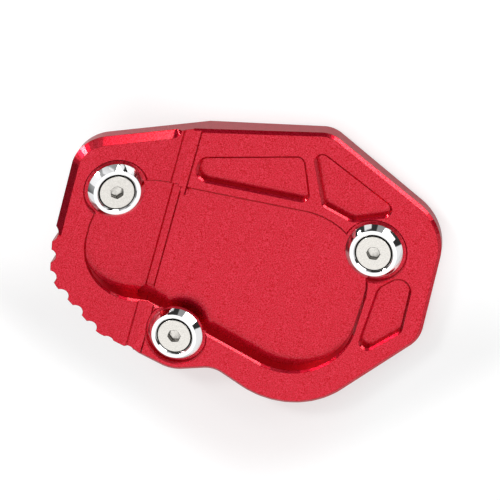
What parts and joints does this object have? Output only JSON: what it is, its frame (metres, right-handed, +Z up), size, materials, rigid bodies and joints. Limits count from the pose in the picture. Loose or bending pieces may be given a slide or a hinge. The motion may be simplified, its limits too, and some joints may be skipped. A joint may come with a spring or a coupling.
{
  "type": "kickstand foot enlarger",
  "caption": "Folded two-plane plate with a foot-shaped pocket, held over a side stand's foot by countersunk screws in clamp washers.",
  "frame": {"origin": "in the middle of the flat ground face under the right wing", "axes": "+Z up from the ground face, +X across the fold from the raised toe wing to the heel, +Y along the fold"},
  "size_m": [0.1064, 0.0844, 0.0252],
  "materials": {
    "plate": "blasted and anodised red",
    "washers": "turned and polished",
    "screws": "satin"
  },
  "bodies": {
    "root": {"base_plate": "plate", "clamp_washer_left": "washers", "clamp_washer_lower": "washers", "clamp_washer_right": "washers", "clamp_screw_left": "screws", "clamp_screw_lower": "screws", "clamp_screw_right": "screws"}
  },
  "joints": []
}
